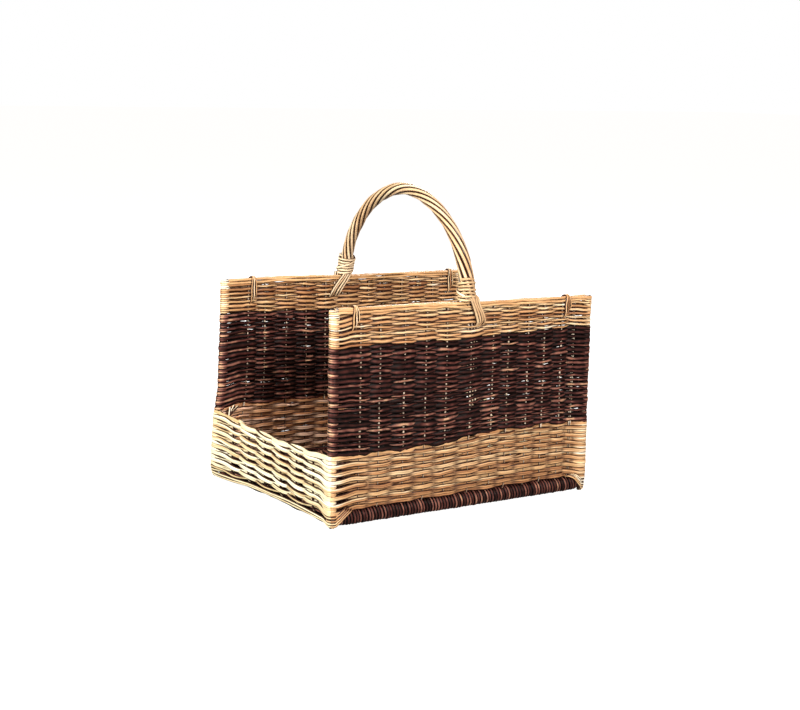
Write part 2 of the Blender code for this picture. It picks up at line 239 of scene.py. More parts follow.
def rounded_ends(path, radius, tangent, *others):
    """Adds two shrinking rings at each end, so that a rod's cut end is a low dome."""
    count = len(path)
    index = np.concatenate([[0, 0], np.arange(count), [count - 1, count - 1]])
    reach = np.zeros(count + 4)
    scale = np.ones(count + 4)
    for number, (step, share) in enumerate(END_DOME):
        reach[[1 - number, count + 2 + number]] = (-step, step)
        scale[[1 - number, count + 2 + number]] = share
    moved = path[index] + tangent[index] * (radius[index] * reach)[:, None]
    return (moved, radius[index] * scale, tangent[index], *(values[index] for values in others))


def rising(distance, run):
    """0 up to distance 0, rising smoothly to 1 at run."""
    return (1 - np.cos(np.pi * np.clip(distance / run, 0, 1))) / 2


def fading(distance, run):
    """1 up to distance 0, falling smoothly to 0 at run."""
    return 1 - rising(distance, run)


def wander(random, along, size, wave):
    """A smooth random drift along a rod."""
    phase = random.rand(3) * 2 * np.pi
    swing = (
        np.sin(along * 2 * np.pi / wave + phase[0])
        + 0.7 * np.sin(along * 2 * np.pi / (0.61 * wave) + phase[1])
        + 0.5 * np.sin(along * 2 * np.pi / (0.37 * wave) + phase[2])
    )
    return size * swing / 1.5


def smooth_line(points, count):
    """A smooth line through points. Columns past the third are carried along with them."""
    points = np.asarray(points, float)
    steps = lengths_along(points[:, :3])
    slopes = np.gradient(points, steps, axis=0)
    places = np.linspace(0, steps[-1], count)
    index = np.clip(np.searchsorted(steps, places) - 1, 0, len(points) - 2)
    length = (steps[index + 1] - steps[index])[:, None]
    t = ((places - steps[index]) / length[:, 0])[:, None]
    start, end = points[index], points[index + 1]
    slope_in, slope_out = slopes[index] * length, slopes[index + 1] * length
    return (
        (2 * t**3 - 3 * t**2 + 1) * start
        + (t**3 - 2 * t**2 + t) * slope_in
        + (3 * t**2 - 2 * t**3) * end
        + (t**3 - t**2) * slope_out
    )


# Woven panels


class Panel:
    """One wall of the basket, with u along it, w outwards from its middle plane and z up."""

    def __init__(self, place, stakes, post_u, stake_radius):
        self.place = place
        self.stakes = list(stakes)
        self.post_u = post_u
        self.stake_radius = stake_radius

    def path(self, local):
        u, w, z = np.asarray(local).T
        return points_at(*self.place(u, w, z))


def side_place(sign):
    return lambda u, w, z: (u, sign * (PANEL_Y + w), z)


def end_place(sign):
    return lambda u, w, z: (sign * (END_X + w), u, z)


SIDES = {"front": -1, "back": 1}
ENDS = {"left": -1, "right": 1}
SIDE_PANELS = {
    name: Panel(side_place(sign), STAKES_X, END_X, STAKE_RADIUS) for name, sign in SIDES.items()
}
END_PANELS = {
    name: Panel(end_place(sign), FLOOR_RODS_Y, PANEL_Y, FLOOR_ROD_RADIUS) for name, sign in ENDS.items()
}


def over_and_under(u, knots_u, knots_w):
    """Offset of a weaver that passes each knot on the given side."""
    index = np.clip(np.searchsorted(knots_u, u) - 1, 0, len(knots_u) - 2)
    left, right = np.asarray(knots_u)[index], np.asarray(knots_u)[index + 1]
    share = rising(u - left, right - left)
    low, high = np.asarray(knots_w)[index], np.asarray(knots_w)[index + 1]
    return low + (high - low) * share


def post_turn(post_u, inward, reach, in_front, z_row, pitch, pairing):
    """Half of the one and a half turns that join two rows round a post, ending where the row leaves.

    The row in front at the post is the lower of its pair.
    """
    steps = 15
    if in_front:
        angle = np.radians(np.linspace(360, 90, steps))
        z = z_row + np.linspace(0.5, -pairing, steps) * pitch
    else:
        angle = np.radians(np.linspace(360, 630, steps))
        z = z_row + np.linspace(-0.5, pairing, steps) * pitch
    u = post_u + inward * reach * np.cos(angle)
    w = reach * np.sin(angle)
    return points_at(u, w, z)


def raised(level, height):
    """A level, given as (u, z) points, raised by a height."""
    return tuple((u, z + height) for u, z in level)


def level_at(level, u):
    """Height of a level, given as (u, z) points, at u."""
    return np.interp(u, *zip(*level))


def weave_knots(random, count, row, swing, spread):
    """Offsets of a weaver at its knots, in front of one stick and behind the next."""
    return [swing * (1 + spread * random.randn()) * (1 if (k + row) % 2 else -1) for k in range(count)]


ROW_STEP = 0.0036
# At the left and right post: how far along a row sags and pairs up with its neighbour, and by what share
NEAR_POST = {-1: (0.030, 1.0, 1.0), 1: (0.022, 0.4, 0.3)}
# Distances of a rod's axis past a stake's or a post's face, as shares of its radius
STAKE_CLEARANCE = 0.72
POST_CLEARANCE = 0.90
SWING_SPREAD = 0.15
POST_THINNING = 0.24
STAKE_CROSSING = 0.0031


def band_row(rods, panel, low, high, row, count, weave):
    """One row of plain weave between two posts, turning back round each post."""
    random = rods.random
    post_u = panel.post_u
    u = np.arange(-post_u + 0.002, post_u - 0.001, ROW_STEP)
    foot = level_at(low, u)
    pitch = (level_at(high, u) - foot) / count
    z = foot + (row + 0.5) * pitch
    radius = pitch / 2 * weave["fill"]
    swing = panel.stake_radius + radius.mean() * STAKE_CLEARANCE
    post_reach = POST_RADIUS + radius.mean() * POST_CLEARANCE
    knots_u = [-post_u, *panel.stakes, post_u]
    side_of = [-1 if (k + row) % 2 else 1 for k in range(len(panel.stakes))]
    side_of = [side_of[0], *side_of, side_of[-1]]
    knots_w = [swing * (1 + SWING_SPREAD * random.randn()) * s for s in side_of]
    knots_w[0] = post_reach * side_of[0]
    knots_w[-1] = post_reach * side_of[-1]
    w = over_and_under(u, knots_u, knots_w)
    lowest, highest = weave["sag"]
    sag = lowest + (highest - lowest) * (row + 0.5) / count
    turns, away, settling = [], 1.0, 0.0
    for sign, (run, sag_share, pairing_share) in NEAR_POST.items():
        end = 0 if sign < 0 else -1
        sunk, pairing = sag_share * sag, pairing_share * weave["pairing"]
        turns.append(
            post_turn(sign * post_u, -sign, post_reach, side_of[end] > 0, z[end] - sunk, pitch[end], pairing)
        )
        near = fading(post_u - sign * u - 0.004, run)
        settling = settling + (pairing * pitch * side_of[end] + sunk) * near
        away = away * (1 - near)
    z -= settling
    z += wander(random, u, weave["uneven"] * 1.6 * radius, 0.09) * away
    z += wander(random, u, weave["uneven"] * 0.9 * radius, 0.035) * away
    left, right = turns
    local = np.vstack([left, points_at(u, w, z), right[::-1]])
    thickness = np.concatenate([np.full(len(left), radius[0]), radius, np.full(len(right), radius[-1])])
    thickness *= np.clip(1 + weave["uneven"] * random.randn(), 0.78, 1.25)
    # Painted shade: a row is painted a little darker where it crosses between stakes, in among its neighbours
    crest = 0.9 + 0.1 * np.clip(np.abs(local[:, 1]) / (0.6 * swing), 0, 1)
    over_stake = np.exp(-(((local[:, :1] - knots_u[1:-1]) / STAKE_CROSSING) ** 2))
    thickness *= 1 - weave["taut"] * over_stake.sum(axis=1)
    # Painted highlight: a glint on the rod where it crosses a stake, brighter at some stakes than others
    glint_at_stake = over_stake @ random.rand(len(panel.stakes)) ** 3
    past = np.abs(local[:, 0]) - post_u
    thickness *= 1 - POST_THINNING * rising(past + 0.015, 0.012)
    # Painted highlight: lighter where the row rounds the post, for the light that falls on the post's wraps
    post_lit_from, post_lit_to = weave["post_lit"]
    post_lit = rising(past - post_lit_from, post_lit_to - post_lit_from)
    shift = weave["glint"] * glint_at_stake + weave["post_highlight"] * (0.75 + 0.5 * random.rand()) * post_lit
    shift += np.interp(local[:, 0], knots_u, weave["mottle"] * random.randn(len(knots_u)))
    join_row(rods, panel, local, thickness, crest, shift, weave["tall"], swing)


# Where two rods of a row meet: points past the join, points drawn inwards, and how far the last is drawn
JOIN_OVERLAP = 4
TUCKED_POINTS = 6
TUCK_DEPTH = 0.0030


def join_row(rods, panel, local, radius, crest, shift, tall, swing):
    """Lays a row as two rods, the end of one tucked behind a stake where the next begins."""
    random = rods.random
    total = len(local)
    inside = np.flatnonzero(local[:, 1] < -0.8 * swing)
    inside = inside[(inside > total // 5) & (inside < 4 * total // 5)]
    cut = inside[random.randint(len(inside))]
    for low, high in ((0, cut + JOIN_OVERLAP), (cut - JOIN_OVERLAP, total)):
        part = local[low:high].copy()
        tucked = slice(0, TUCKED_POINTS) if low > 0 else slice(-TUCKED_POINTS, None)
        ramp = np.linspace(0, TUCK_DEPTH, TUCKED_POINTS)
        part[tucked, 1] -= ramp[::-1] if low > 0 else ramp
        taper = np.clip(np.linspace(*(1 + 0.12 * random.randn(2)), high - low), 0.8, 1.2)
        rods.add(
            panel.path(part),
            radius[low:high] * taper,
            (0, 0, 1),
            tall=tall,
            crest=crest[low:high],
            shift=shift[low:high],
        )


def lay_band(rods, panel, low, high, weave):
    """Rows between two levels."""
    middle = np.linspace(-panel.post_u, panel.post_u, 20)
    height = float(np.mean(level_at(high, middle) - level_at(low, middle)))
    count = 2 * int(round(height / weave["pitch"] / 2))
    for row in range(count):
        band_row(rods, panel, low, high, row, count, weave)


# Materials


def new_material(name):
    material = bpy.data.materials.new(name)
    material.use_nodes = True
    return material, material.node_tree, material.node_tree.nodes["Principled BSDF"]


def set_inputs(tree, node, inputs):
    """Gives each named input of a node its value, or links it where the value is another node's output."""
    for key, value in inputs.items():
        if isinstance(value, bpy.types.NodeSocket):
            tree.links.new(value, node.inputs[key])
        else:
            node.inputs[key].default_value = value


def add_node(tree, kind, inputs, **settings):
    """Adds a shader node with its settings and inputs, and returns its outputs."""
    node = tree.nodes.new("ShaderNode" + kind)
    for key, value in settings.items():
        setattr(node, key, value)
    set_inputs(tree, node, inputs)
    return node.outputs


def add_noise(tree, grain, scale, detail):
    """Noise stretched along the grain."""
    stretched = add_node(tree, "Mapping", {"Vector": grain, "Scale": scale})["Vector"]
    return add_node(tree, "TexNoise", {"Vector": stretched, "Scale": 1.0, "Detail": detail})["Fac"]


def add_palette(tree, palette, place):
    """Colour at a place from 0 to 1 in a palette."""
    ramp = tree.nodes.new("ShaderNodeValToRGB")
    elements = ramp.color_ramp.elements
    elements[0].color = (*palette[0], 1)
    elements[1].color = (*palette[-1], 1)
    for i, colour in enumerate(palette[1:-1], start=1):
        elements.new(i / (len(palette) - 1)).color = (*colour, 1)
    tree.links.new(place, ramp.inputs["Fac"])
    return ramp.outputs["Color"]


REDDENED = (1.0, 0.69, 0.62, 1.0)
# Noise cells per metre along the rod and across it
STREAKS = (35, 900, 900)
BLOTCHES = (28, 60, 60)
STREAK_CONTRAST = {"From Min": 0.3, "From Max": 0.7, "To Min": 0.78, "To Max": 1.12}


def willow_material(
    name, palette, shade, roughness, grain_depth, edge=(0.52, 1.0), gloss=0.3, blotches=BLOTCHES, mottle=0.9
):
    """Willow with a tone for each rod, streaks along it, blotches, and painted shade in its gaps.

    shade is the painted shade colour in a gap, which edge says the range of: fully painted dark below its
    first value of how clear of shade a point is, and clear of it above its second. mottle is how far
    blotches move the tone.
    """
    material, tree, shader = new_material(name)
    grain = add_node(tree, "Attribute", {}, attribute_name="grain")["Vector"]
    tone = add_node(tree, "Attribute", {}, attribute_name="tone")["Vector"]
    place, red, unshaded = add_node(tree, "SeparateXYZ", {"Vector": tone})
    streak = add_noise(tree, grain, STREAKS, 4.0)
    blotch = add_noise(tree, grain, blotches, 3.0)
    lift = add_node(tree, "Math", {0: blotch, 1: mottle, 2: -0.5 * mottle}, operation="MULTIPLY_ADD")[0]
    place = add_node(tree, "Math", {0: place, 1: lift}, operation="ADD", use_clamp=True)[0]
    streaked = add_node(tree, "MapRange", {"Value": streak, **STREAK_CONTRAST})[0]
    multiply = {"data_type": "RGBA", "blend_type": "MULTIPLY"}
    colour = {"Factor": 1.0, "A": add_palette(tree, palette, place), "B": streaked}
    grained = add_node(tree, "Mix", colour, **multiply)["Result"]
    tinted = add_node(tree, "Mix", {"Factor": red, "A": grained, "B": REDDENED}, **multiply)["Result"]
    # Painted shade: the gap colour takes the place of the willow where the tone says a point lies in shade.
    clear = {"Value": unshaded, "From Min": edge[0], "From Max": edge[1]}
    clear = add_node(tree, "MapRange", clear, interpolation_type="SMOOTHSTEP")[0]
    gaps = {"Factor": clear, "A": (*shade, 1), "B": tinted}
    rough = {"Value": blotch, "To Min": roughness - 0.10, "To Max": roughness + 0.14}
    bump = {"Strength": 0.5, "Distance": grain_depth, "Height": streak}
    surface = {
        "Base Color": add_node(tree, "Mix", gaps, data_type="RGBA")["Result"],
        "Roughness": add_node(tree, "MapRange", rough)[0],
        "Specular IOR Level": gloss,
        "Normal": add_node(tree, "Bump", bump)[0],
    }
    set_inputs(tree, shader, surface)
    return material


PEELED = (
    (0.32, 0.150, 0.062),
    (0.52, 0.285, 0.125),
    (0.66, 0.420, 0.205),
    (0.78, 0.590, 0.345),
    (0.93, 0.870, 0.700),
)
# The end walls' palette: the same willow as the sides, painted paler and creamier as a lit copy, for the key
# light that falls full on the end walls.
LIT_END_PALETTE = (
    (0.56, 0.420, 0.220),
    (0.74, 0.650, 0.410),
    (0.84, 0.790, 0.560),
    (0.90, 0.860, 0.680),
    (0.94, 0.920, 0.800),
)
BARK = (
    (0.020, 0.006, 0.005),
    (0.048, 0.014, 0.012),
    (0.118, 0.042, 0.034),
    (0.250, 0.112, 0.082),
    (0.520, 0.310, 0.190),
)
STICK = ((0.66, 0.48, 0.32), (0.80, 0.66, 0.48), (0.90, 0.80, 0.64))
SMOOTH = ((0.44, 0.27, 0.13), (0.62, 0.45, 0.26), (0.74, 0.61, 0.41), (0.84, 0.76, 0.58))
# Colour of the painted shade in the peeled willow's gaps and edges
PEELED_PAINTED_SHADE = (0.030, 0.008, 0.004)

# Each material's third value is its painted shade colour, and the pair after its roughness and grain depth,
# where given, says how far that painted shade reaches over each rod.
NATURAL = willow_material("peeled_willow", PEELED, PEELED_PAINTED_SHADE, 0.42, 0.0004, (0.70, 0.97))
# The lower bands' copy of the peeled willow: its painted shade reaches further over each rod's edges, and its
# blotches are finer and weaker.
LOWER_NATURAL = willow_material(
    "lower_peeled_willow", PEELED, PEELED_PAINTED_SHADE, 0.42, 0.0004, (0.79, 0.965), blotches=(34, 60, 60), mottle=0.6
)
# Painted light: the end walls' lit copy of the willow
END_WALL_LIT_WILLOW = willow_material("end_wall_lit_willow", LIT_END_PALETTE, (0.035, 0.010, 0.005), 0.42, 0.0004, (0.62, 0.97))
BROWN = willow_material(
    "brown_willow", BARK, (0.002, 0.001, 0.001), 0.46, 0.0005, (0.79, 0.96), 0.10, (80, 60, 60), 1.15
)
PALE = willow_material("willow_stick", STICK, (0.030, 0.010, 0.006), 0.5, 0.0004)
HANDLE = willow_material("handle_willow", SMOOTH, (0.030, 0.008, 0.003), 0.38, 0.0002, (0.42, 0.98))

# How far the top edges of the lower and dark bands run above the CAD bands' own, as (u, offset) points
FRONT_LOWER_EDGE = (-0.24, -0.003), (-0.17, -0.0075), (-0.05, -0.0055), (0.055, 0.005), (0.15, 0.006)
FRONT_DARK_EDGE = (-0.24, 0), (-0.15, -0.0015), (0, -0.003), (0.04, 0.001), (0.15, 0.002), (0.20, 0.0055)
BAND_EDGES = {
    "front": (
        (*FRONT_LOWER_EDGE, (0.245, 0.003)),
        (*FRONT_DARK_EDGE, (0.245, 0.0035)),
    ),
    "back": (
        ((-0.245, -0.003), (-0.215, 0.0045), (-0.04, 0.0015), (0.245, 0.001)),
        ((-0.24, 0), (-0.16, 0), (-0.04, -0.005), (0.245, -0.003)),
    ),
}
LEVELS = {
    side: {"lower": raised(lower, LOWER_TOP), "dark": raised(dark, DARK_TOP)}
    for side, (lower, dark) in BAND_EDGES.items()
}

# How each band is woven, as shares unless noted. pitch is metres from row to row. sag is how far the
# lowest and highest rows sink at a post, in metres. fill is a rod's thickness to its pitch, tall its
# height to its width, and pairing how far two rows close up where they turn round a post. uneven is the
# spread of thickness and height, taut the thinning over a stake. glint and mottle lighten a rod at a stake
# and here and there, and the post highlight past the post, over the run that the last pair gives, from how
# far to how far, in metres. glint and the post highlight are painted highlights; mottle is the rod's own
# tone.
DARK_WEAVE = dict(
    pitch=0.0037,
    sag=(0.0, 0.0010),
    fill=1.22,
    tall=1.68,
    pairing=0.05,
    uneven=0.20,
    glint=0.50,
    mottle=0.10,
    taut=0.33,
    post_highlight=0.44,
    post_lit=(-0.001, 0.008),
)
UPPER_WEAVE = dict(
    pitch=0.0034,
    sag=(0.0012, 0.0040),
    fill=1.18,
    tall=1.42,
    pairing=0.25,
    uneven=0.16,
    glint=0.25,
    mottle=0.10,
    taut=0.10,
    post_highlight=0.28,
    post_lit=(-0.012, 0.004),
)
UPPER_BACK_SAG = (0.0, 0.0008)
RIM_FOOT = RIM_TOP - 0.0085
RIM_LEVEL = ((-END_X, RIM_FOOT), (END_X, RIM_FOOT))


def build_dark_band(side):
    rods = Rods(10 if side == "front" else 11)
    levels = LEVELS[side]
    lay_band(rods, SIDE_PANELS[side], levels["lower"], levels["dark"], DARK_WEAVE)
    rods.build(f"{side}_dark_weave", BROWN, "brown_willow", f"{side}_dark_band")


def build_upper_band(side):
    rods = Rods(20 if side == "front" else 21)
    weave = UPPER_WEAVE if side == "front" else {**UPPER_WEAVE, "sag": UPPER_BACK_SAG}
    lay_band(rods, SIDE_PANELS[side], LEVELS[side]["dark"], RIM_LEVEL, weave)
    rods.build(f"{side}_upper_weave", NATURAL, "natural_willow", f"{side}_upper_band")


# Lower band, woven as rings round all four posts

RING_PIECES = ("front", "right", "back", "left")
RING_ROWS = 19
FOOT_ROWS = 4
FIRST_END_ROW = 3
FOOT_Z = (0.0038, 0.0080, 0.0122)
FOOT_REACH = (0.0050, 0.0058, 0.0064)
POST_REACH = POST_RADIUS + POST_CLEARANCE * LOWER_PITCH / 2
# Heights of the first row above the foot, where it rounds a post and along a side panel
CORNER_FOOT = 0.0145
SIDE_FOOT = (0.0255, 0.0280)
# Heights of the top row at the posts and in the middle of an end wall, and of an end wall's first row
CORNER_TOP = {
    "left": {"front": 0.1125, "back": 0.1135},
    "right": {"front": 0.1190, "back": 0.1165},
}
END_WALL_DIP = 0.1025
END_FOOT = {"front": 0.0190, "back": 0.0120}
# How far a ring's rods swing round the stakes, with what spread, and how far they lift on an end wall
RING_SPREAD = 0.12
SIDE_SWING = 0.0026
END_SWING = 0.0035
END_TWIST = 0.0020
# Where every other row of the front panel dives behind the post
DIVE_RUN = 0.010
DIVE_SHARE = 1.9
# The two rods of a slew: radius, height to width, and distance from the slew's middle as a share of pitch
SLEW_RADIUS = 0.00188
SLEW_TALL = 1.50
SLEW_APART = 0.24
SLEW_PARTS = 3
# Added to a rod's place in the palette and share of red on the back panel: painted warm bounce light,
# lighter and redder, for the shaded inside of the basket
BACK_PAINTED_BOUNCE = np.array([0.50, 1.00])


def ring_corner_z(end, side, row):
    """Height of a ring row as it rounds a post."""
    if row < FIRST_END_ROW:
        return FOOT_Z[row]
    pitch = (CORNER_TOP[end][side] - CORNER_FOOT) / (RING_ROWS - FIRST_END_ROW)
    return CORNER_FOOT + (row - FIRST_END_ROW + 0.5) * pitch


def corner_reach(row):
    """Distance from a post's axis to the axis of a rod that rounds it. The foot is slimmer."""
    return FOOT_REACH[row] if row < FIRST_END_ROW else POST_REACH


def meet_corners(z, u, half_length, corners, run):
    """Eases a row's heights into those at which it rounds the posts at its two ends."""
    for sign, corner in zip((-1, 1), corners):
        z = z + (corner - z) * fading(half_length - sign * u, run)
    return z


def end_wall_edges(end, y):
    """Foot and dipped top of an end wall at each y."""
    share = (y + PANEL_Y) / (2 * PANEL_Y)
    foot = END_FOOT["front"] + (END_FOOT["back"] - END_FOOT["front"]) * share
    corner = np.where(y < 0, CORNER_TOP[end]["front"], CORNER_TOP[end]["back"])
    top = END_WALL_DIP + (corner - END_WALL_DIP) * (y / PANEL_Y) ** 2
    return foot, top


def side_run(random, side, row, radius):
    """Local path of a ring row along a side panel, from u = -END_X to END_X."""
    knots_u = [-END_X, *SIDE_PANELS[side].stakes, END_X]
    knots_w = weave_knots(random, len(knots_u), row, SIDE_SWING, RING_SPREAD)
    knots_w[0] = knots_w[-1] = POST_REACH
    if row % 2 and side == "front":
        knots_u.insert(1, -END_X + DIVE_RUN)
        knots_w.insert(1, -DIVE_SHARE * SIDE_SWING)
    knots_u = np.array(knots_u) + 0.003 * np.pad(random.randn(len(knots_u) - 4), 2)
    u = np.arange(-END_X, END_X + 1e-6, 2 * END_X / 130)
    w = over_and_under(u, knots_u, knots_w)
    foot = np.interp(u, (-END_X, END_X), SIDE_FOOT)
    top = level_at(LEVELS[side]["lower"], u)
    z = foot + (row - FOOT_ROWS + 0.5) * (top - foot) / (RING_ROWS - FOOT_ROWS)
    z += wander(random, u, 0.17 * radius, 0.11) + wander(random, u, 0.10 * radius, 0.04)
    z = meet_corners(z, u, END_X, [ring_corner_z(end, side, row) for end in ENDS], 0.045)
    return points_at(u, w, z)


def end_run(random, end, row, radius):
    """Local path of a ring row along an end wall, from u = -PANEL_Y to PANEL_Y."""
    knots_u = [-PANEL_Y, *END_PANELS[end].stakes, PANEL_Y]
    knots_w = weave_knots(random, len(knots_u), row, END_SWING, RING_SPREAD)
    knots_w[0] = knots_w[-1] = POST_REACH
    u = np.arange(-PANEL_Y, PANEL_Y + 1e-6, 2 * PANEL_Y / 96)
    w = over_and_under(u, knots_u, knots_w)
    foot, top = end_wall_edges(end, u)
    if row == RING_ROWS - 1:
        z = top - radius * 0.9
    else:
        rows = RING_ROWS - 1 - FIRST_END_ROW
        corner_room = LOWER_PITCH * (np.abs(u) / PANEL_Y) ** 2
        between = (np.array(knots_u[:-1]) + knots_u[1:]) / 2
        twist = over_and_under(u, between, END_TWIST * np.sign(knots_w[:-1]))
        z = foot + (row - FIRST_END_ROW + 0.5) * (top - corner_room - foot) / rows + twist
    z = z + wander(random, u, 0.20 * radius, 0.12)
    z = meet_corners(z, u, PANEL_Y, [ring_corner_z(end, side, row) for side in SIDES], 0.03)
    return points_at(u, w, z)


def corner_turn(end, side, row, from_side):
    """Quarter turn round the outside of a post."""
    angle = np.radians(np.linspace(0, 90, 8)[1:-1])
    toward_side, toward_end = np.cos(angle), np.sin(angle)
    if not from_side:
        toward_side, toward_end = toward_end, toward_side
    x = ENDS[end] * (END_X + corner_reach(row) * toward_end)
    y = SIDES[side] * (PANEL_Y + corner_reach(row) * toward_side)
    return points_at(x, y, ring_corner_z(end, side, row))


def ring_path(random, row, radius):
    """A whole ring: along the front, the right end wall, the back and the left end wall."""
    runs = [
        SIDE_PANELS["front"].path(side_run(random, "front", row, radius)),
        END_PANELS["right"].path(end_run(random, "right", row, radius)),
        SIDE_PANELS["back"].path(side_run(random, "back", row, radius))[::-1],
        END_PANELS["left"].path(end_run(random, "left", row, radius))[::-1],
    ]
    corners = (("right", "front"), ("right", "back"), ("left", "back"), ("left", "front"))
    parts = []
    for number, (run, (end, side)) in enumerate(zip(runs, corners)):
        parts += [run, corner_turn(end, side, row, from_side=number % 2 == 0)]
    return np.vstack(parts)


def outward_of(path):
    """How far each point stands outside the middle planes of the walls."""
    return np.maximum(np.abs(path[:, 0]) - END_X, np.abs(path[:, 1]) - PANEL_Y)


def owners_of(path):
    """The piece that each point belongs to, as a place in RING_PIECES."""
    along_side = (np.abs(path[:, 1]) - PANEL_Y) > (np.abs(path[:, 0]) - END_X)
    return np.where(along_side, np.where(path[:, 1] < 0, 0, 2), np.where(path[:, 0] > 0, 1, 3))


def add_split(sets, path, owner, radius, tone, tall, bare=0.0):
    """Adds one rod whose stretches belong to different pieces, so that they meet unseen."""
    breaks = np.flatnonzero(np.diff(owner)) + 1
    along = lengths_along(path)
    first_set = sets[RING_PIECES[owner[0]]]
    radius = radius * first_set.thickness(along)
    start = first_set.random.rand(3) * GRAIN_ROOM
    edges = [0, *breaks, len(path)]
    for low, high in zip(edges, edges[1:]):
        low_end, high_end = max(low - 1, 0), min(high + 1, len(path))
        if high_end - low_end < 3:
            continue
        part = path[low_end:high_end]
        piece = RING_PIECES[owner[low]]
        # Painted highlight: side rods grow paler over the last stretch before a corner, into the lit end
        # walls. Painted shade: crest darkens a rod a little where it passes a wall's middle plane.
        corner_highlight = 0.30 * rising(np.abs(part[:, 0]) - END_X + 0.022, 0.020) * (piece in SIDES)
        sets[piece].add(
            part,
            radius[low_end:high_end],
            (0, 0, 1),
            tone + BACK_PAINTED_BOUNCE if piece == "back" else tone,
            sides=8,
            tall=tall,
            crest=0.92 + 0.08 * np.clip(np.abs(outward_of(part)) / 0.0016, 0, 1),
            shift=corner_highlight,
            bare=bare,
            origin=start + (along[low_end], 0, 0),
        )


def lay_ring(sets, row):
    """One ring of slewing: two rods side by side, each cut to its natural length with its ends inside."""
    random = sets["front"].random
    path = ring_path(random, row, LOWER_PITCH / 2)
    owner = owners_of(path)
    total = len(path)
    inside = np.flatnonzero(outward_of(path) < -0.0014)
    around = np.linspace(0, 2 * np.pi, total, endpoint=False)
    for member in (-1, 1):
        phase = random.rand(3) * 2 * np.pi
        apart = 1 + 0.16 * np.sin(23 * around + phase[0]) + 0.14 * np.sin(41 * around + phase[1])
        rod = path.copy()
        rod[:, 2] += member * SLEW_APART * LOWER_PITCH * apart
        spaced = random.rand() + np.arange(SLEW_PARTS) + 0.3 * random.rand(SLEW_PARTS)
        wanted = spaced * total / SLEW_PARTS % total
        cuts = np.sort([inside[np.abs(inside - place).argmin()] for place in wanted])
        thick = SLEW_RADIUS * np.clip(1 + 0.10 * random.randn(), 0.85, 1.15)
        for low, high in zip(cuts, [*cuts[1:], cuts[0] + total]):
            span = np.arange(low - 3, high + 4) % total
            part = rod[span].copy()
            for tucked in (slice(0, 5), slice(-5, None)):
                reach = np.abs(part[tucked]).max(axis=1, keepdims=True)
                part[tucked] += -0.003 * part[tucked] * (1, 1, 0) / reach
            taper = np.linspace(1.12, 0.88, len(part))
            tone = random.rand(2) * (USUAL_TONES, USUAL_RED)
            # The topmost rod has no row above it, so its edges take little painted shade
            topmost = row == RING_ROWS - 1 and member == 1
            add_split(sets, part, owner[span], thick * taper, tone, SLEW_TALL, 0.82 if topmost else 0.0)


# The foot of each corner: rods that come down over the end of a roll and round the post

FOOT_ROD_RADIUS = 0.0019
# How far along a side panel the lowest foot rod starts, and how much less for each one above
FOOT_RUN = {"left": (0.030, 0.004), "right": (0.022, 0.002)}
# The foot row that is cut short behind the posts, and how far each end runs
SHORT_ROW = 2
SHORT_RUN = {"front": 0.016, "back": 0.030}
# Heights of the lowest rod along an end wall, as (u, z) points
LOWEST_ROD = ((-PANEL_Y, 0.0095), (-0.07, 0.0105), (0.067, 0.0085), (PANEL_Y, 0.0030))


def foot_run(end, side, row):
    """Local path of a foot rod on a side panel: from its tucked end, down over the roll's end to the post."""
    longest, step = FOOT_RUN[end]
    reach = longest - step * row
    away = np.array([reach + 0.009, reach + 0.002, *np.linspace(reach - 0.003, 0.006, 7), 0.002, 0])
    share = np.clip((away - 0.003) / (reach - 0.003), 0, 1) ** 0.85
    corner = ring_corner_z(end, side, row)
    z = corner + (0.0268 + 0.0012 * row - corner) * share
    w = np.array([-0.002, 0.0035, *np.linspace(0.0085, 0.0088, 6), 0.0078, 0.0065, corner_reach(row)])
    local = points_at(ENDS[end] * (END_X - away), w, z)
    return smooth_line(SIDE_PANELS[side].path(local), 26)


def end_foot_run(random, end, row, radius):
    """World path of a foot row along an end wall."""
    if row == FIRST_END_ROW:
        return END_PANELS[end].path(end_run(random, end, row, radius))
    u = np.linspace(-PANEL_Y, PANEL_Y, 60)
    z = level_at(LOWEST_ROD, u) + 0.0040 * row + wander(random, u, 0.0006, 0.25)
    z = meet_corners(z, u, PANEL_Y, [ring_corner_z(end, side, row) for side in SIDES], 0.018)
    w = corner_reach(row) + 0.0005 * rising(PANEL_Y - np.abs(u), 0.03)
    return END_PANELS[end].path(points_at(u, w, z))


def short_foot_run(end, side, row):
    """World path of a foot rod that ends behind the first stick of an end wall."""
    share = np.linspace(0, 1, 14)
    u = SIDES[side] * (PANEL_Y - SHORT_RUN[side] * share)
    w = corner_reach(row) * np.cos(1.9 * share)
    z = ring_corner_z(end, side, row) + 0.0006 * share
    return END_PANELS[end].path(points_at(u, w, z))


def lay_foot(sets, end):
    """Rods that wrap the feet of an end wall's two posts and climb over the ends of the rolls."""
    random = sets[end].random
    for row in range(FOOT_ROWS):
        halves = {}
        for side in SIDES:
            halves[side] = np.vstack([foot_run(end, side, row), corner_turn(end, side, row, True)])
        if row == SHORT_ROW:
            pieces = [np.vstack([halves[side], short_foot_run(end, side, row)]) for side in SIDES]
        else:
            middle = end_foot_run(random, end, row, FOOT_ROD_RADIUS)
            pieces = [np.vstack([halves["front"], middle, halves["back"][::-1]])]
        for path in pieces:
            tone = random.rand(2) * (USUAL_TONES, USUAL_RED)
            add_split(sets, path, owners_of(path), np.full(len(path), FOOT_ROD_RADIUS), tone, 1.1)


# Rods left standing inside the back left corner: how far each reaches along x, and how high its tip rises
TIPS = ((0.010, 0.012), (0.017, 0.015), (0.024, 0.013))


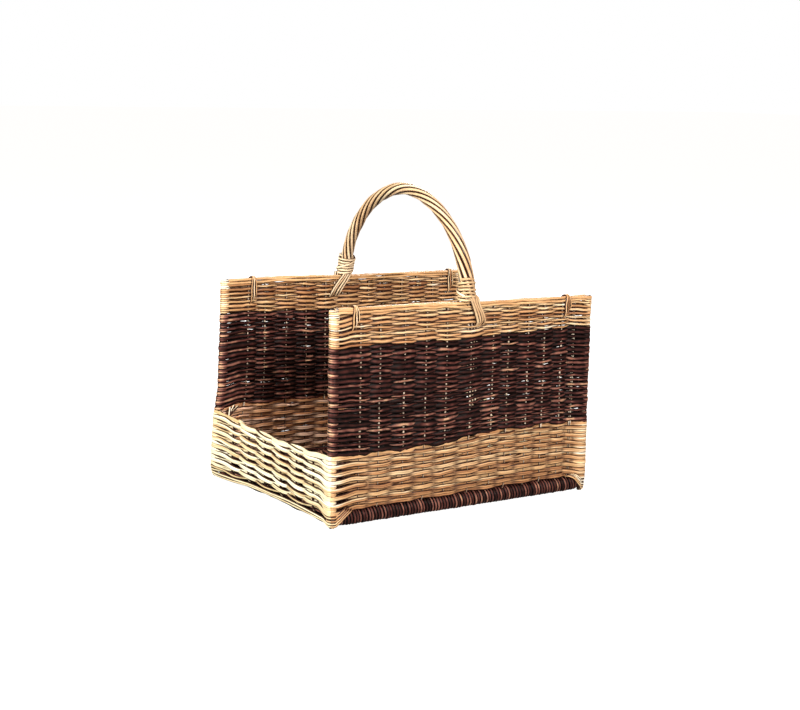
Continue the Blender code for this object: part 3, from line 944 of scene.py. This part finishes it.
def lay_tips(rods):
    share = np.linspace(0, 1, 12)[:, None]
    for number, (reach, rise) in enumerate(TIPS):
        foot = np.array([-END_X + 0.006, PANEL_Y - 0.030 + 0.004 * number, 0.100])
        tip = np.array([-END_X + 0.006 + reach, PANEL_Y - 0.010, 0.106 + rise])
        path = foot + (tip - foot) * share + (0, 0, 0.002) * np.sin(np.pi * share)
        rods.add(path, 0.0018, (0, 1, 0), shift=0.1)


def build_lower_bands():
    sets = {name: Rods(30 + i) for i, name in enumerate(RING_PIECES)}
    for row in range(FOOT_ROWS, RING_ROWS):
        lay_ring(sets, row)
    for end in ENDS:
        lay_foot(sets, end)
    lay_tips(sets["left"])
    for name in ("front", "back"):
        sets[name].build(f"{name}_lower_weave", LOWER_NATURAL, "natural_willow", f"{name}_lower_band")
    # The end walls take the painted lit copy of the willow
    for name in ("left", "right"):
        sets[name].build(f"{name}_end_weave", END_WALL_LIT_WILLOW, "natural_willow", f"end_wall_{name}")


# Sticks


# Ends of the stakes and posts, and how thin a stake is where the lower band hides it
STAKE_FOOT = 0.004
STAKE_TOP = RIM_TOP - 0.005
POST_TOP = RIM_TOP - 0.007
HIDDEN_SHARE = 0.42
# The last stake of each panel is two thin rods side by side
PAIR_RADIUS = 0.0018
PAIR_SPREAD = 0.0017


def build_stakes(side):
    panel = SIDE_PANELS[side]
    rods = Rods(40 if side == "front" else 41)
    z = np.linspace(STAKE_FOOT, STAKE_TOP, 40)
    inward = -0.007 * fading(z - 0.010, 0.022)
    in_band = rising(z - LOWER_TOP, 0.004)
    in_dark = in_band * rising(DARK_TOP - z, 0.006)
    for x in STAKES_X:
        u = x + wander(rods.random, z, 0.0005, 0.2)
        paired = x == STAKES_X[-1]
        for offset in (-PAIR_SPREAD, PAIR_SPREAD) if paired else (0,):
            # Painted light on the stakes: a little painted shade where rows cover them, and in the dark band
            # paler with painted glints, where their bits between the dark rods catch the light
            painted_glints = np.clip(0.10 + wander(rods.random, z, 0.25, 0.045), -0.14, 0.14)
            radius = (PAIR_RADIUS if paired else STAKE_RADIUS) * (HIDDEN_SHARE + (1 - HIDDEN_SHARE) * in_band)
            path = panel.path(points_at(u + offset, inward, z))
            rods.add(path, radius, (1, 0, 0), sides=8, crest=0.86 + in_dark * painted_glints, shift=0.45 * in_dark)
    rods.build(f"{side}_stakes", PALE, "willow_stick", *STAKE_NAMES[side])


BINDING_RADIUS = 0.0018
BINDING_TURNS = 4.2
BINDING_PITCH = 0.0032
BINDING_FOOT = RIM_TOP - 0.0142


def build_posts():
    """The four posts, and the thin rod bound round the top of each."""
    posts, bindings = Rods(50), Rods(51)
    for x_sign in ENDS.values():
        for y_sign in SIDES.values():
            post_x, post_y = x_sign * END_X, y_sign * PANEL_Y
            z = np.linspace(0.001, POST_TOP, 38)
            posts.add(points_at(post_x, post_y, z), POST_RADIUS, (1, 0, 0), sides=12)
            turns = np.linspace(0, BINDING_TURNS, 80)
            angle = 2 * np.pi * turns + bindings.random.rand() * 6
            reach = POST_RADIUS + 0.0021 - 0.002 * rising(turns - BINDING_TURNS + 0.5, 0.5)
            x, y = post_x + reach * np.cos(angle), post_y + reach * np.sin(angle)
            path = points_at(x, y, BINDING_FOOT + BINDING_PITCH * turns)
            bindings.add(path, BINDING_RADIUS, (0, 0, 1), tall=1.1, shift=0.38)
    posts.build("corner_posts", PALE, "willow_stick", *nodes_called("corner_post_"))
    bindings.build("corner_bindings", NATURAL, "natural_willow", "front_rim", "back_rim")


FLOOR_ROD_BEND = 0.010
FLOOR_ROD_HIDDEN_RADIUS = 0.0016


def build_floor_rods():
    """Rods that run the length of the floor and rise inside both end walls."""
    rods = Rods(60)
    bend = FLOOR_ROD_BEND
    centre_x, centre_z = END_X - bend, ROLL_RADIUS + bend
    angle = np.radians(np.linspace(0, 90, 7))
    arc = points_at(centre_x + bend * np.cos(angle), centre_z - bend * np.sin(angle))
    run = points_at(np.linspace(centre_x - 0.004, -centre_x + 0.004, 80), ROLL_RADIUS)
    for y in FLOOR_RODS_Y:
        _, top = end_wall_edges("left", y)
        rise = points_at(END_X, np.linspace(top - 0.004, centre_z + 0.003, 18))
        half = np.vstack([rise, arc])
        flat = np.vstack([half, run, half[::-1] * (-1, 1)])
        path = points_at(flat[:, 0], y, flat[:, 1])
        path[:, 1] += wander(rods.random, path[:, 0], 0.0006, 0.3)
        upright = np.abs(path[:, 0]) > END_X - 0.002
        radius = np.where(upright, FLOOR_ROD_HIDDEN_RADIUS, FLOOR_ROD_RADIUS)
        # Painted shade: the rising parts stand inside the end walls and are painted darker for their shade
        rods.add(path, radius, (0, 1, 0), sides=8, crest=np.where(upright, 0.6, 1.0))
    rods.build("floor_rods", PALE, "willow_stick", *FLOOR_ROD_NAMES)


# Floor

FLOOR_RADIUS = 0.0027
FLOOR_TALL = 1.12
FLOOR_ENDS = (-0.2335, 0.2375)
# The rolls narrow towards their ends
ROLL_TAPER_RUN = 0.012
ROLL_TAPER = 0.20
# Rods that close the floor off: across each end, as (x, z), and along each side, as (y, z)
CROSS_RADIUS = 0.0026
CROSS_RODS = ((0.2400, 0.0085), (0.2372, 0.0150), (0.2375, 0.0032), (0.2335, 0.0190), (0.2325, 0.0070))
SIDE_RADIUS = 0.0024
SIDE_RODS = ((0.1765, 0.0235), (0.1835, 0.0262))
# The sticks inside each roll, as offsets (y, z) from its middle
CORE_RADIUS = 0.0032
CORE_RODS = ((-0.003, 0.002), (0.003, -0.002), (0.0, 0.004), (0.001, -0.004))


def floor_weaver(x, number, random, shrink):
    """A dark rod laid across the floor and wrapped round both edges, with its ends tucked under."""
    reach = (ROLL_RADIUS - FLOOR_RADIUS) * shrink
    knots_y = [-ROLL_Y, *FLOOR_RODS_Y, ROLL_Y]
    knots_z = weave_knots(random, len(knots_y), number, FLOOR_ROD_RADIUS + 0.9 * FLOOR_RADIUS, 0.08)
    knots_z[0] = knots_z[-1] = reach
    y = np.linspace(-ROLL_Y, ROLL_Y, 78)
    z = over_and_under(y, knots_y, knots_z)
    angle = np.radians(np.linspace(0, 180, 12)[1:])
    around = points_at(ROLL_Y + reach * np.sin(angle), reach * np.cos(angle))
    wrap = np.vstack([around, (ROLL_Y - 0.006, 0.0010 - reach), (ROLL_Y - 0.012, 0.0045 - reach)])
    flat = np.vstack([wrap[::-1] * (-1, 1), points_at(y, z), wrap])
    slant = 0.0014 * flat[:, 1] / reach * np.sign(flat[:, 0])
    x_line = x + slant * (np.abs(flat[:, 0]) > ROLL_Y - 0.01) + wander(random, flat[:, 0], 0.0004, 0.15)
    return points_at(x_line, flat[:, 0], ROLL_RADIUS + flat[:, 1])


def build_floor_weave():
    rods = Rods(70)
    random = rods.random
    low, high = FLOOR_ENDS
    count = int(round((high - low) / FLOOR_PITCH))
    for number in range(count + 1):
        x = low + (high - low) * number / count
        from_end = min(x - low, high - x) / ROLL_TAPER_RUN
        path = floor_weaver(x, number, random, 1 - ROLL_TAPER + ROLL_TAPER * min(1, from_end) ** 0.6)
        thick = 1 + 0.07 * random.randn() + 0.14 * rising(ROLL_Y - 0.004 - np.abs(path[:, 1]), 0.012)
        rods.add(path, FLOOR_RADIUS * thick, (1, 0, 0), tall=FLOOR_TALL)
    y = np.linspace(-ROLL_Y, ROLL_Y, 70)
    for sign in (-1, 1):
        for x, z in CROSS_RODS:
            wave = wander(random, y, 0.0012, 0.11)
            rods.add(points_at(sign * (x + 0.5 * wave), y, z + wave), CROSS_RADIUS, (0, 0, 1))
    x = np.linspace(-0.236, 0.238, 60)
    for sign in (-1, 1):
        for y, z in SIDE_RODS:
            wave = wander(random, x, 0.0007, 0.15)
            rods.add(points_at(x, sign * y + wave, z + 0.5 * wave), SIDE_RADIUS, (0, 0, 1))
    rods.build("floor_weave", BROWN, "brown_willow", "floor_weaving")


def build_floor_edges():
    cores = Rods(71)
    x = np.linspace(-0.234, 0.238, 40)
    for sign in (-1, 1):
        for y, z in CORE_RODS:
            cores.add(points_at(x, sign * ROLL_Y + y, ROLL_RADIUS + z), CORE_RADIUS, (0, 1, 0))
    cores.build("floor_edge_sticks", BROWN, "willow_stick", *nodes_called("floor_edge_stick_"))


# Rims and lashings


RIM_TONE = (0.40, 0.10)
# The two looped rods of a rim: distance from the panel's middle plane, depth below the rim's top, radius,
# and the sign of the end where the loop turns round the post
RIM_LOOPS = ((0.0034, 0.0022, 0.0021, 1), (0.0040, 0.0066, 0.0020, -1))
RIM_TURN_GAP = 0.0022
RIM_CORE_DEPTH = 0.0020
RIM_CORE_RADIUS = 0.0022


def rim_loop(panel, w, z, turned_end, random):
    """A rim rod that runs along one face, turns round a post and comes back along the other face."""
    reach = POST_RADIUS + RIM_TURN_GAP
    u = np.linspace(-END_X * 0.985, END_X, 110)
    sway = wander(random, u, 0.0007, 0.16) + wander(random, u, 0.0005, 0.05)
    face = w + (reach - w) * fading(END_X - u, 0.03)
    out = points_at(u, face, z + sway)
    angle = np.radians(np.linspace(90, -90, 11)[1:-1])
    turn = points_at(END_X + reach * np.cos(angle), reach * np.sin(angle), z + sway[-1])
    home = points_at(u, -face, z + wander(random, u, 0.0008, 0.15))[::-1]
    return panel.path(np.vstack([out, turn, home]) * (turned_end, 1, 1))


def build_rim(side):
    panel = SIDE_PANELS[side]
    rods = Rods(80 if side == "front" else 81)
    # The rim rods' edges take little painted shade, as no rows lie on them
    for w, depth, radius, turned_end in RIM_LOOPS:
        path = rim_loop(panel, w, RIM_TOP - depth, turned_end, rods.random)
        rods.add(path, radius, (0, 0, 1), RIM_TONE, bare=0.80)
    u = np.linspace(-END_X + 0.006, END_X - 0.006, 100)
    z = RIM_TOP - RIM_CORE_DEPTH + wander(rods.random, u, 0.0004, 0.17)
    path = panel.path(points_at(u, wander(rods.random, u, 0.0006, 0.3), z))
    rods.add(path, RIM_CORE_RADIUS, (0, 0, 1), RIM_TONE, bare=0.82)
    rods.build(f"{side}_rim_rods", NATURAL, "natural_willow", f"{side}_rim")


LASHING_RADIUS = 0.0017
# Each strand's offset along the rim, and how far below the rim's top its foot is
LASHING_STRANDS = ((-0.0050, 0.043), (-0.0008, 0.037), (0.0034, 0.031))
# A strand's way over the rim: share of its offset that it keeps, w, and height above the rim's top
OVER_RIM = (
    (1.1, 0.0082, -0.0100),
    (0.8, 0.0078, -0.0035),
    (0.5, 0.0040, 0.0012),
    (0.5, -0.0040, 0.0012),
    (0.8, -0.0078, -0.0035),
    (1.1, -0.0080, -0.0130),
)


def build_lashing(name, side, seed):
    """Thin strands drawn over the rim and tucked into both faces."""
    x = node_centre(name)[0]
    rods = Rods(seed)
    for offset, depth in LASHING_STRANDS:
        splayed = x + offset * (1.0 + 0.35 * rods.random.rand())
        foot = RIM_TOP - depth
        outside = [(splayed, 0.0015, foot + 0.008), (splayed, 0.0072, foot + 0.013)]
        inside = [(splayed, -0.0070, foot + 0.004), (splayed, -0.0015, foot - 0.001)]
        over = [(x + offset * keep, w, RIM_TOP + rise) for keep, w, rise in OVER_RIM]
        path = SIDE_PANELS[side].path(smooth_line(outside + over + inside, 44))
        rods.add(path, LASHING_RADIUS, (1, 0, 0), shift=0.15)
    rods.build(f"{name}_strands", NATURAL, "natural_willow", name)


# Handle

ARCH_EXPONENT = 1.88
BOW_RADIUS = 0.0044
BOW_TOP = ARCH_TOP - BOW_RADIUS


class Arch:
    """The handle's centre line in the plane x = 0, from the front rim to the back rim."""

    def __init__(self):
        angle = np.linspace(0, np.pi, 721)
        power = 2 / ARCH_EXPONENT
        cosine = np.cos(angle)
        y = -PANEL_Y * np.sign(cosine) * np.abs(cosine) ** power
        z = RIM_TOP + (BOW_TOP - RIM_TOP) * np.abs(np.sin(angle)) ** power
        self.line = points_at(y, z)
        self.along = lengths_along(self.line)
        self.length = self.along[-1]

    def point(self, place):
        return points_at(*(np.interp(place, self.along, values) for values in self.line.T))

    def at(self, place):
        """Points and outward directions in (y, z)."""
        tangent = unit(self.point(place + 0.001) - self.point(place - 0.001))
        return self.point(place), points_at(-tangent[:, 1], tangent[:, 0])

    def rising_to(self, height):
        """How far along the front half reaches a height."""
        half = len(self.line) // 2
        return float(np.interp(height, self.line[:half, 1], self.along[:half]))

    def around(self, place, x, reach, angle):
        """World points at a distance and angle round the centre line, whose own x is given."""
        centre, outward = self.at(place)
        lifted = centre + (reach * np.sin(angle))[:, None] * outward
        return np.column_stack([x + reach * np.cos(angle), lifted])


ARCH = Arch()
ROPE_STRANDS = 8
STRAND_RADIUS = 0.00285
# Turns of the rope: its share that is even, and the share that quickens towards the back
ROPE_TWIST = (1.55, 0.60)
ROPE_REACH = 0.0074
# The rope swells towards its feet, and stands to one side at the front
SWELL_FRONT = 0.34
SWELL_BACK = 0.12
ROPE_SHIFT_FRONT = 0.0030
# Below the rope its strands part into four on each face: where the fan's middle stands along x at its top
# and foot, and how far apart its strands are at the foot and the top
FAN_DRIFT = {"front": (0.0075, 0.0220), "back": (0.0000, -0.0225)}
FAN_SPREAD = {"front": 0.0047, "back": 0.0058}
FAN_TOP_SPREAD = 0.0046


def strand_angle(strand, place):
    share = place / ARCH.length
    return 2 * np.pi * (strand / ROPE_STRANDS + ROPE_TWIST[0] * share + ROPE_TWIST[1] * share**2)


def fan_order(side):
    """Strands of each face at one foot of the rope, in order along x, as {strand: (face, place in fan)}."""
    place = 0.006 if side == "front" else ARCH.length - 0.006
    angles = [strand_angle(k, place) for k in range(ROPE_STRANDS)]
    ranked = sorted(range(ROPE_STRANDS), key=lambda k: -math.sin(angles[k]))
    half = ROPE_STRANDS // 2
    order = {}
    for face, group in ((1, ranked[:half]), (-1, ranked[half:])):
        for rank, strand in enumerate(sorted(group, key=lambda k: math.cos(angles[k]))):
            order[strand] = (face, rank)
    return order


FAN = {side: fan_order(side) for side in SIDES}


def tail_path(side, strand, random):
    """World points of a strand below the rope, from its tucked end up to the rim."""
    face, rank = FAN[side][strand]
    top_x, foot_x = FAN_DRIFT[side]
    from_middle = rank - (ROPE_STRANDS / 2 - 1) / 2
    spread = from_middle * FAN_SPREAD[side]
    foot = TAIL_FOOT + 0.001 + 0.004 * random.rand()
    local = [
        (foot_x + spread, face * 0.0020, foot - 0.005),
        (foot_x + spread, face * 0.0075, foot),
        (foot_x * 0.70 + top_x * 0.30 + spread, face * 0.0098, foot + 0.012),
        (foot_x * 0.26 + top_x * 0.74 + 0.92 * spread, face * 0.0102, RIM_TOP - 0.007),
        (top_x * 0.92 + from_middle * FAN_TOP_SPREAD, face * 0.0100, RIM_TOP + 0.002),
    ]
    return SIDE_PANELS[side].path(local)


def build_rope():
    """Eight strands twisted round the bow. Each carries its section's up direction along with its path."""
    strands = Rods(90)
    start = ARCH.rising_to(COLLAR_FOOT + 0.003)
    places = np.linspace(start, ARCH.length - start, 120)
    _, outward = ARCH.at(places)
    near_front = fading(places - start, 0.13)
    near_back = fading(ARCH.length - start - places, 0.02)
    reach = ROPE_REACH * (1 + SWELL_FRONT * near_front + SWELL_BACK * near_back)
    for strand in range(ROPE_STRANDS):
        angle = strand_angle(strand, places)
        path = ARCH.around(places, -ROPE_SHIFT_FRONT * near_front, reach, angle)
        # The up direction runs round the rope, so each strand's painted edge shade falls in the grooves
        # against its neighbours
        rope = np.column_stack([path, -np.sin(angle), np.cos(angle)[:, None] * outward])
        tails = []
        for side, near in (("front", rope[1]), ("back", rope[-2])):
            tail = tail_path(side, strand, strands.random)
            # Below the rope the strands lie side by side along x, so up along x puts their painted edge shade
            # between them
            level = (1.0 if near[3] > 0 else -1.0, 0.0, 0.0)
            tails.append(np.hstack([tail, np.tile(level, (len(tail), 1))]))
        line = smooth_line(np.vstack([tails[0], rope[1:-1:2], tails[1][::-1]]), 330)
        taper = np.linspace(1.06, 0.94, len(line))
        in_tail = fading(line[:, 2] - RIM_TOP + 0.004, 0.014)
        on_leg = rising(-line[:, 1] - 0.10, 0.08)
        thick = (taper if strand % 2 else taper[::-1]) * (1 - 0.32 * in_tail + 0.14 * on_leg)
        strands.add(line[:, :3], STRAND_RADIUS * thick, line[:, 3:], sides=12)
    names = ("handle_rope", "handle_tails_front", "handle_tails_back")
    strands.build("handle_strands", HANDLE, "handle_willow", *names)


# The bow's legs and the two rods pushed in beside each: x, and height of the foot
LEG_RODS = ((0.0025, 0.232), (0.0145, 0.168), (0.0195, 0.172))
LEG_RADIUS = 0.0019


def build_bow():
    rods = Rods(91)
    centre = ARCH.point(np.linspace(0, ARCH.length, 90))
    rods.add(np.column_stack([np.zeros(len(centre)), centre]), BOW_RADIUS, (1, 0, 0))
    for sign in SIDES.values():
        for x, foot in LEG_RODS:
            z = np.linspace(foot, RIM_TOP + 0.006, 24)
            x_line = -sign * (x + wander(rods.random, z, 0.0004, 0.2))
            rods.add(points_at(x_line, sign * PANEL_Y, z), LEG_RADIUS, (1, 0, 0))
    rods.build("handle_bow_rods", PALE, "willow_stick", "handle_bow")


COLLAR_REACH = {"front": 0.0122, "back": 0.0130}
COLLAR_OFFSET = {"front": -0.0036, "back": 0.0}
COLLAR_RADIUS = 0.0022
# The binding's two passes: starting angle, turns, share of its height where it starts, distance further out
COLLAR_PASSES = ((1.2, 6.3, 0.0, 0.0), (2.2, 0.62, 0.12, 0.0018))
COLLAR_TUCK = 0.0035


def build_collar(side):
    """A rod bound round the foot of the rope: up over the others in one pass, then round and round."""
    rods = Rods(92 if side == "front" else 93)
    low = ARCH.rising_to(COLLAR_FOOT - 0.0020)
    high = ARCH.rising_to(COLLAR_TOP - 0.0028)
    for start, turns, first, over in COLLAR_PASSES:
        angle = np.linspace(0, turns * 2 * np.pi, int(26 * turns) + 12)
        place = low + (high - low) * (first + (1 - first) * angle / angle[-1])
        place += 0.0007 * np.cos(angle + start) + wander(rods.random, angle * 0.014, 0.0003, 0.05)
        if side == "back":
            place = ARCH.length - place
        reach = COLLAR_REACH[side] + over + wander(rods.random, angle * 0.014, 0.0006, 0.06)
        reach -= COLLAR_TUCK * (fading(angle, 0.8) + fading(angle[-1] - angle, 0.8))
        path = ARCH.around(place, COLLAR_OFFSET[side], reach, angle + start)
        _, outward = ARCH.at(place)
        # up runs along the arch, so each wrap's painted edge shade falls against the wraps beside it
        up = points_at(0, -outward[:, 1], outward[:, 0])
        rods.add(path, COLLAR_RADIUS, up, tall=1.08, shift=0.1)
    rods.build(f"handle_binding_{side}", HANDLE, "handle_willow", f"handle_collar_{side}")


for side in SIDES:
    build_dark_band(side)
    build_upper_band(side)
    build_stakes(side)
    build_rim(side)
    build_collar(side)
build_lower_bands()
build_posts()
build_floor_rods()
build_floor_weave()
build_floor_edges()
build_rope()
build_bow()
for seed, (side, name) in enumerate((side, name) for side in SIDES for name in LASHING_NAMES[side]):
    build_lashing(name, side, 100 + seed)


# Stage


def add_area_light(name, place, target, side, power, colour):
    light = bpy.data.lights.new(name, "AREA")
    light.shape = "RECTANGLE"
    light.size = light.size_y = side
    light.energy = power
    light.color = colour
    lamp = bpy.data.objects.new(name, light)
    bpy.context.scene.collection.objects.link(lamp)
    lamp.location = place
    lamp.rotation_euler = (Vector(target) - Vector(place)).to_track_quat("-Z", "Y").to_euler()


# Position, target, side, power and colour of each square light
LIGHTS = {
    "key": ((-2.6, -0.36, 1.6), (0, 0, 0.2), 0.6, 135, (0.98, 1.0, 0.93)),
    "fill": ((-0.7, -2.9, 1.3), (0, 0, 0.2), 0.5, 99, (1.0, 0.955, 0.90)),
    "top": ((0.3, -1.6, 2.6), (0, 0, 0.1), 0.5, 28, (1.0, 0.86, 0.78)),
    "back": ((1.8, 2.4, 1.5), (0, 0, 0.2), 0.8, 60, (1.0, 0.96, 0.90)),
}
AMBIENT = {"Color": (1.0, 0.78, 0.66, 1), "Strength": 0.30}
WHITE = (1, 1, 1, 1)
FLOOR_SIZE = 30
FLOOR_Z = -0.0006
FLOOR_GREY = 0.40
FLOOR_GLOW = 0.90


def build_floor():
    """A pale floor. Its glow is seen by the camera only, so that it doesn't light the basket."""
    mesh = bpy.data.meshes.new("floor")
    corners = [(x * FLOOR_SIZE, y * FLOOR_SIZE, 0) for x, y in ((-1, -1), (1, -1), (1, 1), (-1, 1))]
    mesh.from_pydata(corners, [], [(0, 1, 2, 3)])
    floor = bpy.data.objects.new("floor", mesh)
    floor.location.z = FLOOR_Z
    bpy.context.scene.collection.objects.link(floor)
    material, tree, shader = new_material("pale_floor")
    seen = add_node(tree, "LightPath", {})["Is Camera Ray"]
    surface = {
        "Base Color": (FLOOR_GREY, FLOOR_GREY, FLOOR_GREY, 1),
        "Roughness": 0.9,
        "Specular IOR Level": 0.0,
        "Emission Color": WHITE,
        "Emission Strength": add_node(tree, "Math", {0: seen, 1: FLOOR_GLOW}, operation="MULTIPLY")[0],
    }
    set_inputs(tree, shader, surface)
    mesh.materials.append(material)


def build_world():
    """White to the camera, and a dim warm light to everything else."""
    world = bpy.data.worlds.new("studio")
    bpy.context.scene.world = world
    world.use_nodes = True
    tree = world.node_tree
    ambient = tree.nodes["Background"]
    set_inputs(tree, ambient, AMBIENT)
    seen = add_node(tree, "LightPath", {})["Is Camera Ray"]
    white = add_node(tree, "Background", {"Color": WHITE, "Strength": 1.0})[0]
    mix = add_node(tree, "MixShader", {"Fac": seen, 1: ambient.outputs[0], 2: white})[0]
    set_inputs(tree, tree.nodes["World Output"], {"Surface": mix})


CAMERA_AZIMUTH = math.radians(-33.1055)
CAMERA_ELEVATION = math.radians(9.9017)
CAMERA_ROLL = math.radians(1.1819)
CAMERA_DISTANCE = 2.6574
CAMERA_TARGET = (-0.0008, 0.0005, 0.2206)
CAMERA_LENS = 70.716


def build_camera():
    """The camera stands to the front left, a little above the rim."""
    data = bpy.data.cameras.new("camera")
    data.sensor_fit = "HORIZONTAL"
    data.sensor_width = 36
    data.lens = CAMERA_LENS
    data.clip_end = 100
    camera = bpy.data.objects.new("camera", data)
    bpy.context.scene.collection.objects.link(camera)
    turned = Matrix.Rotation(CAMERA_AZIMUTH, 4, "Z")
    tilted = Matrix.Rotation(math.pi / 2 - CAMERA_ELEVATION, 4, "X")
    rolled = Matrix.Rotation(CAMERA_ROLL, 4, "Z")
    backed = Matrix.Translation((0, 0, CAMERA_DISTANCE))
    camera.matrix_world = Matrix.Translation(CAMERA_TARGET) @ turned @ tilted @ rolled @ backed
    bpy.context.scene.camera = camera


build_floor()
build_world()
for name, settings in LIGHTS.items():
    add_area_light(name, *settings)
build_camera()
bpy.context.scene.view_settings.view_transform = "Standard"
